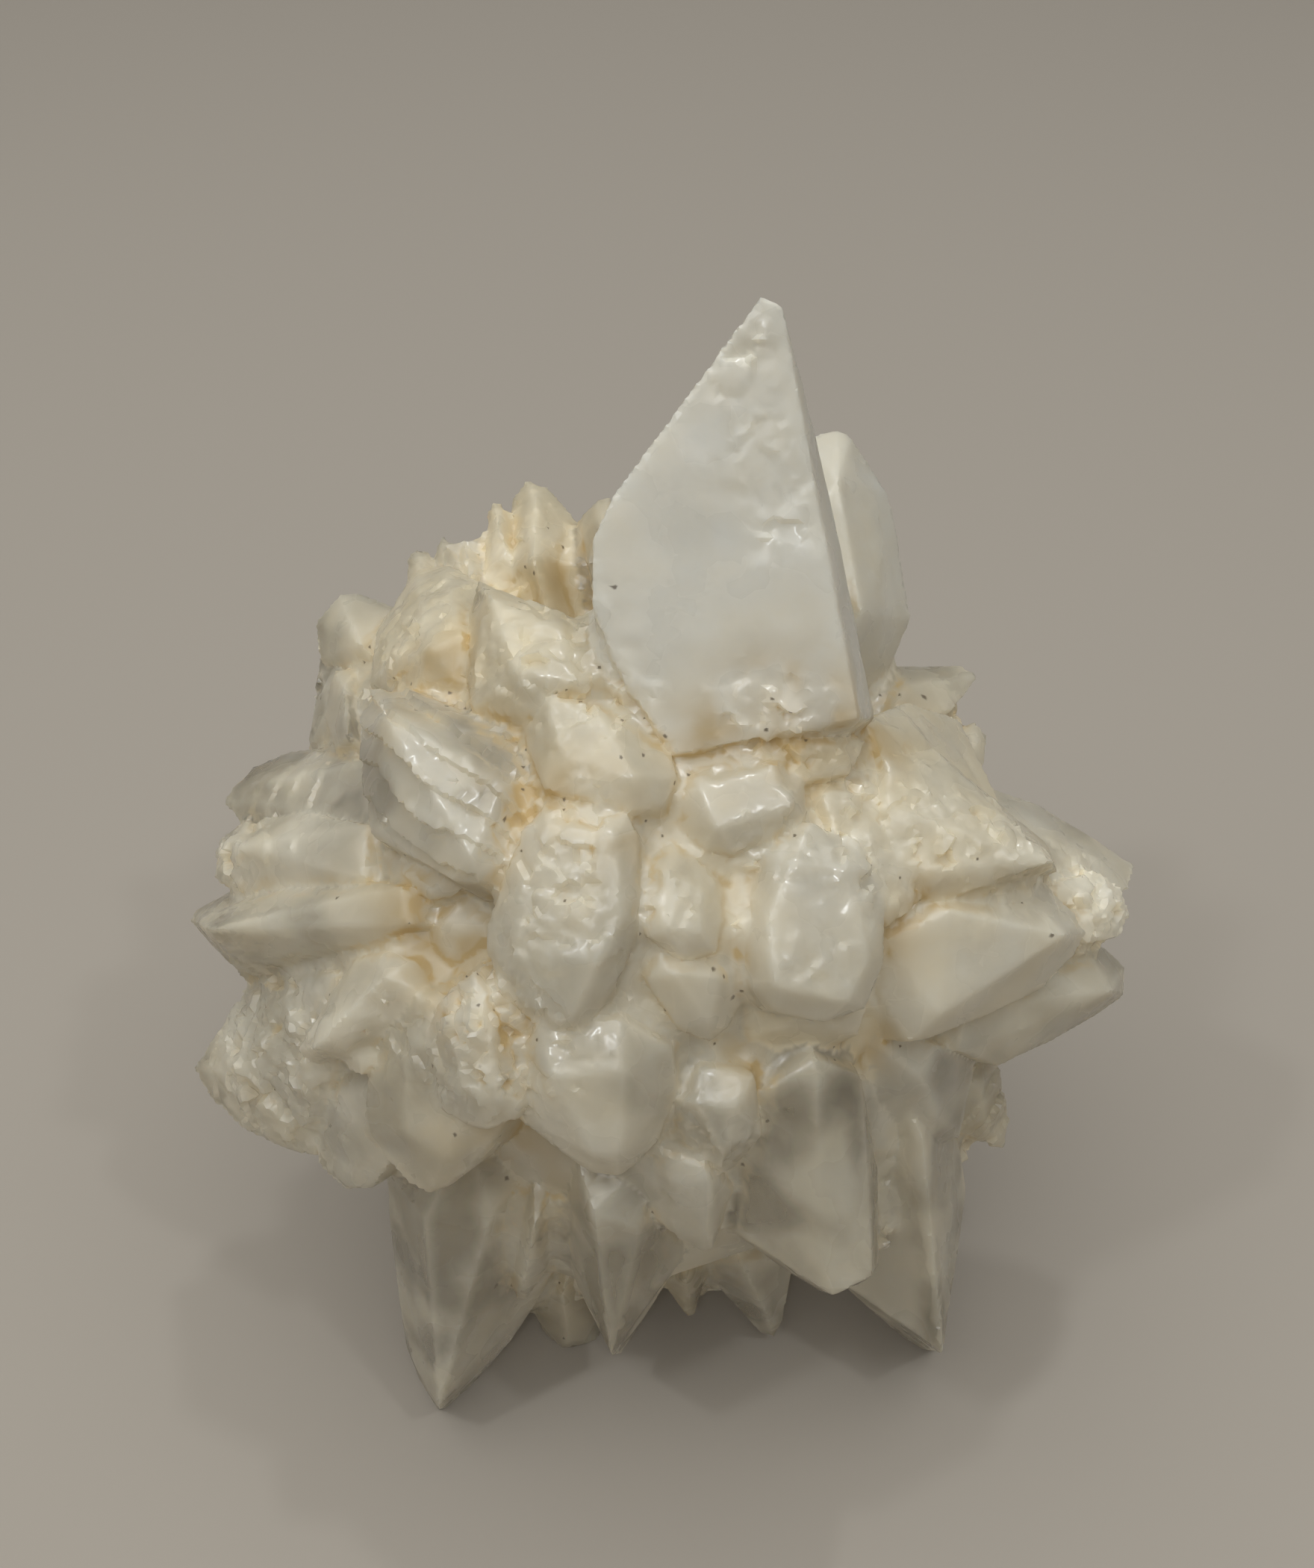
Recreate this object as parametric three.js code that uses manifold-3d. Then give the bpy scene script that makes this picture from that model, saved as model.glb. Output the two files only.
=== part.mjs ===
// A calcite specimen: one solid of milky crystals that grew outwards from a common core, with one tall
// rhombohedral crystal standing on top. It rests on the worn tips of its lowest crystals.
// Millimetres, +Z up, origin under the middle of the specimen on the surface that it rests on.
import * as THREE from "three";
import { ConvexGeometry } from "three/addons/geometries/ConvexGeometry.js";
import { mergeVertices } from "three/addons/utils/BufferGeometryUtils.js";
import Module from "manifold-3d";

// Driving dimensions
const CORE_RADIUS = 38.5; // the massive calcite that the crystals grow from
const CORE_LUMP = 2.5; // how far the core's surface wanders in and out
const LUMP_SIZE = 7.7; // the size of one lump
const CORE_HEIGHT = 47; // the core's centre over the surface that the specimen rests on
const VIEW_TILT = 38; // the viewer looks down at the specimen by this many degrees
const EYE = [-0.9, 19, 236]; // the viewer's eye, right, up and out from the core's centre
const ROOT_SHARE = 0.35; // a crystal's root lies this share of the way from the core's centre to its rim
const ROOT_WIDTH = 0.92; // width of a crystal at its root, as a share of its width at the rim

// Stout crystals, for the sides that the viewer doesn't see
const STOUT_SQUASH = [0.7, 1]; // thickness for each unit of width
const STOUT_LEAN = 0.15; // how far the end moves to either side, for each unit of width
const STOUT_SHOULDERS = [0.3, 0.62]; // how far the shoulders lie under the end, in turn round the crystal
const STOUT_UNEVEN = [0.75, 1.25]; // the spread of those shoulders and of the girth
const STOUT_END = [0.08, 0.22]; // size of the blunt end, for each unit of width
const FILL_SEED = 7;
const FILL_COUNT = 130; // directions tried
const FILL_REACH = [46, 56]; // how far the crystals reach from the core's centre
const FILL_WIDTH = [15, 24];
const FILL_CLEARANCE = 16.5; // degrees between one crystal and its neighbours
const FILL_SWAY = 0.35; // how far a direction may move round the core
const FILL_LOWEST = 4; // the crystals stop this far above the surface
const UNSEEN_FROM = -0.05; // a direction is unseen when less than this share of it points at the viewer
const SKYLINE_FROM = -0.4; // from here to there, a crystal stays short and off the skyline
const SKYLINE_REACH = 45;
const FLANK_TURN = 0.25; // a smaller crystal on the flank points this far away
const FLANK_REACH = 0.9;
const FLANK_WIDTH = 0.55;

const SAME_POINT = 1e-4; // points nearer than this are one
const SLIVER = 0.02; // edges under this size are closed after joining
const WEAR_BLOCK = 400; // side of the block that wears the feet flat

const wasm = await Module();
wasm.setup();

// The viewing frame, from the core's centre
const tilt = THREE.MathUtils.degToRad(VIEW_TILT);
const VIEW_RIGHT = new THREE.Vector3(1, 0, 0);
const VIEW_UP = new THREE.Vector3(0, Math.sin(tilt), Math.cos(tilt));
const VIEW_OUT = new THREE.Vector3(0, -Math.cos(tilt), Math.sin(tilt));

// A point given by where it is seen, right and up on a plane through the core's centre, and by how far
// out of that plane it stands along the line of sight.
function seen([right, up, out]) {
  const [eyeRight, eyeUp, eyeOut] = EYE;
  const nearer = 1 - out / eyeOut;
  return new THREE.Vector3()
    .addScaledVector(VIEW_RIGHT, eyeRight + (right - eyeRight) * nearer)
    .addScaledVector(VIEW_UP, eyeUp + (up - eyeUp) * nearer)
    .addScaledVector(VIEW_OUT, out);
}

// Seeded random numbers from 0 to 1
function randomSource(seed) {
  let state = seed;
  return () => {
    state = (state + 0x6d2b79f5) | 0;
    let mixed = Math.imul(state ^ (state >>> 15), 1 | state);
    mixed = (mixed + Math.imul(mixed ^ (mixed >>> 7), 61 | mixed)) ^ mixed;
    return ((mixed ^ (mixed >>> 14)) >>> 0) / 4294967296;
  };
}

function solidOf(geometry) {
  const bare = geometry.clone();
  bare.deleteAttribute("normal");
  if (bare.getAttribute("uv")) bare.deleteAttribute("uv");
  const merged = mergeVertices(bare, SAME_POINT);
  return new wasm.Manifold(
    new wasm.Mesh({
      numProp: 3,
      vertProperties: merged.attributes.position.array,
      triVerts: new Uint32Array(merged.index.array),
    }),
  );
}

function middleOf(points) {
  const sum = points.reduce((total, point) => total.add(point), new THREE.Vector3());
  return sum.divideScalar(points.length);
}

// The core, lumpy where it shows between the crystals
function core() {
  const ball = new THREE.IcosahedronGeometry(CORE_RADIUS, 3);
  const place = ball.getAttribute("position");
  const point = new THREE.Vector3();
  for (let i = 0; i < place.count; i++) {
    point.fromBufferAttribute(place, i);
    const { x, y, z } = point.clone().divideScalar(LUMP_SIZE);
    const lump = (Math.sin(1.7 * x + y) + Math.sin(2.1 * y - z) + Math.sin(1.9 * z + x)) / 3;
    point.setLength(CORE_RADIUS + CORE_LUMP * lump);
    place.setXYZ(i, point.x, point.y, point.z);
  }
  return solidOf(ball);
}

// The tall crystal: a steep rhombohedron with a blunt tip, a broad face to the front and a narrow one to
// the right of the ridge between them.
const SPIRE = {
  tip: [
    [11.8, 78.4, 50],
    [14.3, 77.2, 49.5],
    [14, 76, 46],
  ],
  frontLeft: [
    [-6.2, 54.2, 46.5],
    [-8.8, 48.6, 45.6],
    [-8.8, 41, 44.6],
  ],
  frontRight: [
    [22.2, 32.5, 43.5],
    [23.6, 27, 42.5],
  ],
  frontFoot: [
    [-5.5, 32.3, 43.3],
    [1, 22.5, 42],
  ],
  right: [
    [20, 54.5, 38],
    [25.6, 27, 33],
  ],
  back: [
    [-7.7, 48.2, 25],
    [9.4, 48, 10],
    [22, 42.5, 21.4],
  ],
  root: [
    [-6.5, 22.7, 20],
    [17.8, 18.3, 22],
    [12.2, 33.3, 3],
    [-2, 32.7, 7.4],
  ],
};

function spire() {
  return solidOf(new ConvexGeometry(Object.values(SPIRE).flat().map(seen)));
}

// The crystals on the viewer's side. The rim is a crystal's outline as it is seen, and the crown holds the
// corners of the faces inside that outline. Each point is right, up and out.
const SKYLINE = {
  rearBlade: {
    rim: [
      [17, 61, 12], [21, 62.2, 12], [22.6, 61.3, 12], [27.1, 54.5, 10], [28, 51, 10], [30, 39, 8],
      [27.6, 33.6, 9], [14, 40, 10],
    ],
    crown: [[21, 56, 19], [24, 40, 20], [17, 50, 19]],
  },
  crest: {
    rim: [
      [-18.6, 53.5, 4], [-16.8, 55.9, 4], [-14.1, 55, 4], [-10.5, 50.9, 6], [-10.9, 45, 10],
      [-17.3, 42, 12], [-19.4, 45, 10],
    ],
    crown: [[-15.6, 53.6, 8], [-15.9, 46, 16]],
  },
  crestLeft: {
    rim: [
      [-21.6, 51.8, 6], [-20.9, 53.4, 6], [-19.8, 53.2, 6], [-18.2, 51.5, 6], [-17.5, 43, 12],
      [-22, 44, 10],
    ],
    crown: [[-20.2, 50.5, 10]],
  },
  crestRight: {
    rim: [[-10.5, 51.2, 8], [-8.2, 53.5, 10], [-6.6, 54, 10], [-5.5, 48, 14], [-9.3, 46, 14]],
    crown: [[-8, 50, 14]],
  },
  toothLeft: {
    rim: [[-28.2, 46, 8], [-27.2, 49.3, 6], [-26.9, 49.3, 6], [-24.6, 46, 8], [-26, 38, 16]],
    crown: [[-26.6, 44, 13]],
  },
  toothRight: {
    rim: [[-25, 46.4, 8], [-24.5, 48.8, 7], [-24.2, 48.8, 7], [-22, 46.2, 8], [-23, 38, 16]],
    crown: [[-23.6, 44, 13]],
  },
  knob: {
    rim: [
      [-31.2, 46.6, 8], [-30.2, 47.6, 8], [-28.8, 47.3, 8], [-27.8, 45.6, 9], [-28, 40, 14],
      [-31.8, 40, 12],
    ],
    crown: [[-29.4, 44.5, 13]],
  },
  bluntEnd: {
    rim: [
      [-42.5, 38.6, 5], [-39.5, 42.1, 4], [-37.3, 42.3, 4], [-32.7, 40.5, 6], [-33.4, 34.5, 10],
      [-38.2, 33.4, 10], [-41.9, 34, 6],
    ],
    crown: [[-38.6, 39.6, 9], [-37, 36, 13]],
  },
  upperMass: {
    rim: [
      [-32.6, 40.9, 12], [-30.2, 45, 12], [-26.4, 45.8, 14], [-22.5, 43.6, 18], [-21.2, 36, 26],
      [-23.6, 29, 32], [-30, 29.5, 30], [-36, 31, 20], [-35, 38, 14],
    ],
    crown: [[-29.5, 40, 25], [-26, 42, 24], [-24.5, 37, 32], [-28.5, 35.5, 32], [-33, 34, 27]],
  },
  paleColumn: {
    rim: [
      [-40.2, 32.9, 10], [-37.7, 33, 11], [-36.6, 24.5, 20], [-40, 22.8, 18], [-41.4, 27.3, 12],
    ],
    crown: [[-39, 30.5, 17], [-38.6, 25, 22]],
  },
  paleColumnBack: {
    rim: [[-41.9, 34.5, 4], [-43.4, 23, 6], [-40, 22, 10], [-39, 34, 8]],
    crown: [[-41, 28, 11]],
  },
  creamFace: {
    rim: [
      [-22.6, 43.7, 26], [-16.8, 41.3, 30], [-9, 38.6, 34], [-5.2, 32.3, 38], [-8, 27.5, 40],
      [-17.3, 27, 40], [-23.5, 28, 36], [-24.7, 35.5, 29],
    ],
    crown: [[-21, 41.4, 33], [-12.5, 38, 38], [-18, 33, 41], [-11, 31.5, 43]],
  },
};

const RIGHT_SIDE = {
  thorn: {
    rim: [
      [26, 33.4, 4], [35.9, 33.5, 2], [38.3, 32.2, 2], [36.4, 30.2, 5], [35, 28, 8], [28, 28, 12],
    ],
    crown: [[34.8, 31.6, 6.1], [29.5, 31, 9.2]],
  },
  smallKnob: {
    rim: [
      [36.2, 25.9, 4], [37.7, 26.6, 3], [39.2, 25, 3], [39, 21.8, 6], [37.7, 19.4, 9],
      [35, 20.9, 12],
    ],
    crown: [[37.8, 24, 6.8], [37.2, 21.5, 9.8]],
  },
  upperShoulder: {
    rim: [
      [24.5, 27, 30], [29.5, 29, 20], [35.9, 26.9, 12], [37.5, 23.6, 14], [41, 16.5, 18],
      [33, 16, 30], [27, 21, 34],
    ],
    crown: [[29.5, 25.5, 27.2], [34, 22.5, 22.4]],
  },
  shoulder: {
    rim: [
      [27.2, 22.3, 33], [32.7, 23.4, 28], [40.3, 16.8, 22], [46.4, 11.8, 20], [47.9, 8.4, 20],
      [43.6, 7, 25], [33, 4.5, 34], [29, 8, 37], [27, 16.4, 37],
    ],
    crown: [[33, 18.5, 33], [40.5, 14.7, 26], [45, 10, 23.9], [35, 9, 34.5]],
  },
  longArm: {
    rim: [
      [39.5, 18.6, 8], [45.5, 16.5, 6], [51.4, 12.9, 6], [57.2, 9.1, 8], [56.6, 6.3, 12],
      [49.1, 4, 18], [42, 12, 20],
    ],
    crown: [[46, 14.3, 11.8], [53.5, 9.4, 12.3], [48, 9, 16.6]],
  },
  brokenEnd: {
    rim: [
      [48.6, 7.3, 16], [52.7, 8.6, 15], [55.7, 6.4, 14], [56.6, 3.2, 14], [55.5, 0.4, 15],
      [51.4, -0.4, 18], [46, 0, 22], [46, 6, 22],
    ],
    crown: [[52, 6.4, 17.9], [54.3, 3.4, 17.1], [51.6, 1.6, 19.1]],
  },
  broadFace: {
    rim: [
      [26.2, -6.4, 34], [26.8, 0, 36], [32, 5.8, 33], [37.3, 7.5, 29], [42.3, 8.1, 25],
      [46.4, 6.8, 23], [50, 3.2, 22], [51.2, 0.9, 22], [50, -1.6, 22], [45.9, -6, 23],
      [39.1, -9.2, 27], [32.3, -11.9, 31], [29.5, -12.4, 32],
    ],
    crown: [[34.5, 3.5, 35.2], [45.6, 4.2, 27.4], [48, 1, 25.9], [44.8, -3.2, 27.5], [33.5, -9, 34.2]],
  },
  lowerArm: {
    rim: [
      [47, -1.4, 14], [50.9, -0.3, 10], [53.5, -0.9, 8], [56, -3.2, 8], [55.8, -6.8, 8],
      [52.3, -9.2, 10], [46.8, -12.4, 13], [40.5, -15.3, 17], [36, -13.5, 24], [36.5, -8, 26],
    ],
    crown: [[51.8, -2.6, 12.8], [53.6, -5.8, 12.1], [45.5, -9.6, 18.3], [40, -12.3, 21.9]],
  },
};

const MIDDLE = {
  ribbedBlock: {
    rim: [
      [-37.1, 26.8, 28], [-35.5, 30.7, 27], [-30.8, 30.5, 30], [-25.3, 28.5, 34],
      [-20.2, 25.6, 38], [-16.6, 20.5, 41], [-17.2, 16.2, 42], [-20.2, 9.2, 43], [-22.3, 6.7, 43],
      [-25.8, 7.2, 42], [-35.6, 13, 33], [-36.9, 20, 29],
    ],
    crown: [
      [-32.8, 26.5, 33.1], [-24.5, 24, 38.9], [-20, 18.5, 43.1], [-31.8, 15.6, 38.6], [-23.6, 10.4, 44.3],
      [-27.5, 20.5, 39.3],
    ],
  },
  wedgeUnderBlock: {
    rim: [[-36.2, 14, 26], [-34.8, 8.2, 28], [-28.5, 3.8, 34], [-24.4, 6.8, 38], [-24, 12, 38]],
    crown: [[-31.5, 8, 34.5], [-28.2, 6, 36.7]],
  },
  pillow: {
    rim: [
      [-17.5, 29.5, 37], [-15.5, 32, 36], [-10.9, 32.2, 37], [-5.5, 29.5, 40], [-2, 24, 42],
      [0.8, 22.6, 42], [1.5, 20, 43], [0, 16.2, 44], [-4.5, 15.5, 45], [-10.3, 17.6, 45],
      [-14.8, 18.4, 44], [-16.8, 23.6, 40],
    ],
    crown: [[-14, 29.2, 40.4], [-7.5, 26.8, 43.7], [-12.2, 22.2, 45], [-4, 20, 45.9]],
  },
  shield: {
    rim: [
      [-17.5, 13.4, 44], [-14.3, 16.9, 43], [-9.4, 17.3, 44], [-4.5, 15.3, 45], [-3, 12.5, 45],
      [-3.2, 1.9, 46], [-6.7, -6.6, 46], [-10.1, -11.1, 45], [-15.1, -10.6, 44], [-19.8, -6.6, 43],
      [-21.6, -1.5, 42], [-21.7, 1.5, 42], [-18.9, 6.7, 43],
    ],
    crown: [
      [-14.2, 14, 46.1], [-6.4, 13, 47.1], [-5.2, 2.6, 48.6], [-18.4, -1.8, 46],
      [-8.6, -3.2, 48.8], [-11.4, -9.4, 47.1],
    ],
  },
  smallShield: {
    rim: [
      [-3, 10, 43], [0.9, 12.3, 42], [3.8, 10.9, 42], [6.9, 7.3, 42], [7.6, 1.8, 43],
      [6.4, -1.5, 44], [2.3, -2.4, 45], [-2.2, 0.5, 46], [-3.4, 5.5, 45],
    ],
    crown: [[0.6, 8.6, 46], [4.6, 5.8, 45.4], [4.4, 1, 46.4], [0.5, 1.4, 47.4]],
  },
  lowFacet: {
    rim: [
      [-2.7, -4.5, 44], [-0.9, -1.2, 44], [3.6, -0.6, 43], [8.6, -3, 41], [9.9, -6.4, 40],
      [7.8, -10.5, 40], [5.6, -12.4, 40], [1.6, -10.9, 42],
    ],
    crown: [[1, -4, 45.5], [6.6, -4.6, 43.8], [5.4, -10, 42.8]],
  },
  creamLedge: {
    rim: [
      [-7, -7, 41], [-1.8, -5.5, 42], [6.4, -11.6, 38], [3.6, -14.5, 37], [-0.5, -15.6, 37],
      [-4.6, -12.8, 39],
    ],
    crown: [[-1.6, -10.6, 41.3], [1.6, -13.2, 39.3]],
  },
  smoothDome: {
    rim: [
      [10.4, 5.5, 42], [12.4, 10.9, 42], [17.7, 14.4, 41], [23.6, 12, 39], [26.9, 4.5, 39],
      [26.7, -2.7, 40], [24.5, -8.3, 41], [19.5, -10, 42], [13.6, -8.7, 43], [10.2, -5.5, 43],
      [9.7, 0, 43],
    ],
    crown: [
      [15.6, 9.4, 44.6], [22.8, 9.2, 42.4], [24.8, -2.4, 43.1], [22.4, -7.4, 44.1], [13.4, -5.4, 46.1],
      [12.6, 2, 45.7],
    ],
  },
  ledgeUnderDome: {
    rim: [
      [10.2, -5.2, 38], [19.1, -8, 40], [24.7, -7.8, 37], [23.6, -11.5, 35], [17.7, -14.2, 34],
      [12.7, -14.6, 34], [8.5, -12.3, 36],
    ],
    crown: [[13.6, -10.8, 38.4], [20.6, -10.6, 38.4]],
  },
  glassyBlock: {
    rim: [
      [0.6, 18.2, 41], [1.4, 20.5, 40], [3.2, 21.8, 40], [10, 23, 40], [15, 23, 39],
      [17.2, 20.5, 39], [17.4, 15, 40], [13.6, 12.6, 42], [8.6, 10.6, 43], [4.6, 11.2, 43],
      [1.8, 14.1, 42],
    ],
    crown: [[4.4, 18.6, 43.3], [13.4, 20.8, 42.3], [15.4, 16.4, 43.2], [6.4, 13.8, 44.8]],
  },
  stainedLedge: {
    rim: [
      [6, 24.6, 40], [10, 26.7, 39], [15.5, 27, 38], [20, 26.5, 37], [24.6, 24.3, 36],
      [22.7, 20.3, 38], [17.7, 19.5, 40], [12, 22, 41],
    ],
    crown: [[12.5, 24.8, 41.2], [20.8, 24, 39.3]],
  },
  whiteTooth: {
    rim: [
      [16.5, 17.6, 38], [18.2, 20.2, 37], [25, 20.4, 34], [28.6, 17.6, 32], [26.8, 14.6, 36],
      [20.9, 13, 40],
    ],
    crown: [[19.4, 17.8, 39.6], [25.4, 17.8, 36.3]],
  },
  greyShelf: {
    rim: [
      [18, 15, 38], [27.6, 16.6, 34], [32.5, 11.8, 32], [32.2, 5.6, 34], [27.3, 1.6, 38],
      [21, 8, 40],
    ],
    crown: [[24.6, 13.2, 38.4], [29.4, 10.2, 36.5], [26.6, 6, 39.3]],
  },
  hollowFloor: {
    rim: [
      [-33, 1.6, 29], [-31.4, 5.6, 31], [-22.7, 7.4, 35.5], [-20.6, 0, 36.5], [-25.4, -4.6, 34],
      [-30, -2.8, 31],
    ],
    crown: [[-27, 1.4, 35.5]],
  },
};

const LEFT_SIDE = {
  upperFinger: {
    rim: [
      [-41, 23.6, 10], [-46, 22.8, 6], [-50, 21, 6], [-52.7, 18.3, 8], [-53.6, 16.8, 9],
      [-51.4, 14.2, 13], [-44.5, 11, 20], [-36, 14, 28], [-35.5, 22, 24],
    ],
    crown: [[-47.2, 19.4, 12.4], [-49.8, 17, 13], [-43, 15.6, 20.7], [-40, 20.6, 18]],
  },
  middleFinger: {
    rim: [
      [-50, 15.2, 12], [-54.1, 12.4, 12], [-54.9, 10.9, 13], [-53.8, 8.4, 15], [-54.6, 7.5, 14],
      [-50.9, 4.6, 18], [-44.5, 3.6, 24], [-36.5, 7.5, 32], [-36, 14, 30], [-43.5, 15.5, 22],
    ],
    crown: [
      [-50.6, 11.6, 17.2], [-50, 8.6, 19], [-44, 12.6, 24.3], [-43.6, 8, 25.8], [-39.5, 10.5, 29.5],
    ],
  },
  lowerFinger: {
    rim: [
      [-52, 6.4, 8], [-56.9, 3.7, 6], [-57.6, 2.4, 6], [-55, -0.6, 8], [-50.5, -5.2, 11],
      [-48, -4, 15], [-41.8, -1.4, 24], [-35.5, -0.7, 32], [-31, 2, 36], [-32, 6.6, 35],
      [-42.7, 8, 24],
    ],
    crown: [
      [-52.6, 2.2, 12.8], [-49.4, -1.6, 15.9], [-44.6, 4.4, 24.1], [-37, 3.6, 32.2], [-43.5, 0.6, 24.4],
    ],
  },
  roughPaddle: {
    rim: [
      [-49.3, -3.2, 12], [-53.6, -10, 8], [-57.2, -15.6, 6], [-55, -19.2, 7], [-51.8, -22.6, 8],
      [-46.8, -25.2, 10], [-42.5, -26.3, 14], [-40.5, -16, 24], [-40, -4, 28],
    ],
    crown: [
      [-50, -9.4, 15.8], [-52.4, -15.8, 12.3], [-46.4, -22, 15.6], [-44, -8.4, 23.4], [-43.6, -17.4, 22.2],
    ],
  },
  ridgedTooth: {
    rim: [
      [-34.1, -1.4, 34], [-31.6, -2.8, 36], [-30.3, -6.2, 37], [-31.2, -8.6, 36], [-37, -14.4, 31],
      [-42.7, -14.9, 26], [-44.6, -13.4, 26], [-42.3, -10.3, 27], [-40, -5.5, 29],
      [-37.5, -2.2, 31],
    ],
    crown: [[-34, -4.4, 37.5], [-37.8, -8, 34.3], [-41.8, -12.4, 29.2]],
  },
  chip: {
    rim: [
      [-39.6, -12.5, 28], [-35.4, -12.5, 32], [-35.3, -15, 32], [-36.8, -16.5, 31],
      [-38.8, -15.7, 29],
    ],
    crown: [[-37.2, -14, 32.3]],
  },
  leftTooth: {
    rim: [
      [-42, -16.4, 18], [-40.5, -13, 20], [-36, -13, 26], [-33, -18, 30], [-33.5, -27.3, 24],
      [-35.5, -30.2, 19], [-38.8, -30.4, 17], [-42, -27.4, 15], [-42.5, -23.6, 16],
    ],
    crown: [[-39, -19, 23.8], [-37, -25.5, 22.9]],
  },
};

const BELOW_MIDDLE = {
  roundedTooth: {
    rim: [
      [-36, -14.5, 30], [-34.5, -9.6, 33], [-30, -6.5, 37], [-24, -10, 41], [-19, -21.6, 38],
      [-22.6, -27.4, 34], [-26.4, -30.1, 31], [-28.6, -30.8, 30], [-31, -29.6, 29],
      [-36.6, -23.6, 28],
    ],
    crown: [[-31.5, -15, 36.7], [-31.4, -23, 34.8], [-26.6, -26.5, 35.7], [-24.4, -20.6, 38.6]],
  },
  sugarBlock: {
    rim: [
      [-29.3, -11.8, 38], [-27.4, -7.2, 40], [-23.2, -3.8, 42], [-21.6, -6.2, 43],
      [-18.8, -12.7, 43], [-17.4, -20, 42], [-18, -22, 41], [-22.7, -23.1, 40], [-26.9, -20.7, 38],
      [-28.8, -17.3, 37],
    ],
    crown: [[-25.4, -9.6, 43.4], [-22, -9.6, 44.9], [-20.4, -18.6, 44.3], [-25, -17.8, 42.8]],
  },
  broadDrop: {
    rim: [
      [-17.7, -21.8, 38], [-17.5, -14, 42], [-15.5, -10, 44], [-5.5, -9.6, 45], [1, -13, 42],
      [1.6, -18.2, 40], [-0.8, -24.6, 38], [-3.5, -27.4, 38], [-5.6, -28.7, 38], [-9.2, -28.2, 38],
      [-13.3, -25.2, 38],
    ],
    crown: [
      [-13.5, -16.6, 44.8], [-5, -16, 45.7], [-1.6, -18.6, 42.7], [-5.6, -26.2, 42.2],
      [-8.4, -26, 42.2], [-13, -21.6, 42.2],
    ],
  },
  hookedTooth: {
    rim: [
      [-4.5, -27.4, 31], [-1.8, -23, 35], [4.5, -24, 36], [8.4, -30.5, 31], [6, -37.7, 27],
      [4.6, -37.9, 27], [1.4, -36, 28], [-1.5, -33.7, 28],
    ],
    crown: [[5.2, -29, 36.1], [5.2, -36, 30.2], [1, -29, 34.8]],
  },
  specklyDrop: {
    rim: [
      [-1, -19, 38], [4.5, -15.4, 40], [11, -16.5, 39], [12, -23.6, 36], [8.7, -27.5, 34],
      [6.8, -28.6, 34], [3.5, -27, 34], [0.2, -24.6, 35],
    ],
    crown: [[4, -20, 41.1], [8.6, -20.4, 40.5], [7.2, -26, 38]],
  },
  longDrop: {
    rim: [
      [6.6, -34.1, 25], [9, -26.5, 32], [12, -18.5, 37], [18.6, -14.5, 38], [24, -16.5, 34],
      [25.9, -27.3, 27], [26.1, -39.2, 19], [24.6, -41.3, 18], [19.1, -42.7, 18],
      [13.5, -39.2, 20],
    ],
    crown: [
      [18.7, -22, 37], [23.8, -25, 31.2], [24.2, -38.4, 22.4], [19.6, -40.6, 22.3], [13.2, -29, 33.3],
      [14.2, -36, 25.8],
    ],
  },
  lowThorn: {
    rim: [
      [33, -13.5, 14], [40.6, -14.5, 4], [42, -21.8, 0], [41.4, -25.5, -2], [38, -24.4, 2],
      [33, -22, 10],
    ],
    crown: [[38.4, -18, 9.1], [39, -22, 5.8]],
  },
  lowMass: {
    rim: [
      [25, -12, 31], [33, -12.6, 26], [38, -14, 18], [36, -24, 12], [30, -26, 17], [26, -20, 25],
    ],
    crown: [[31, -16.5, 27.6], [33, -21, 21.2]],
  },
};

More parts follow.
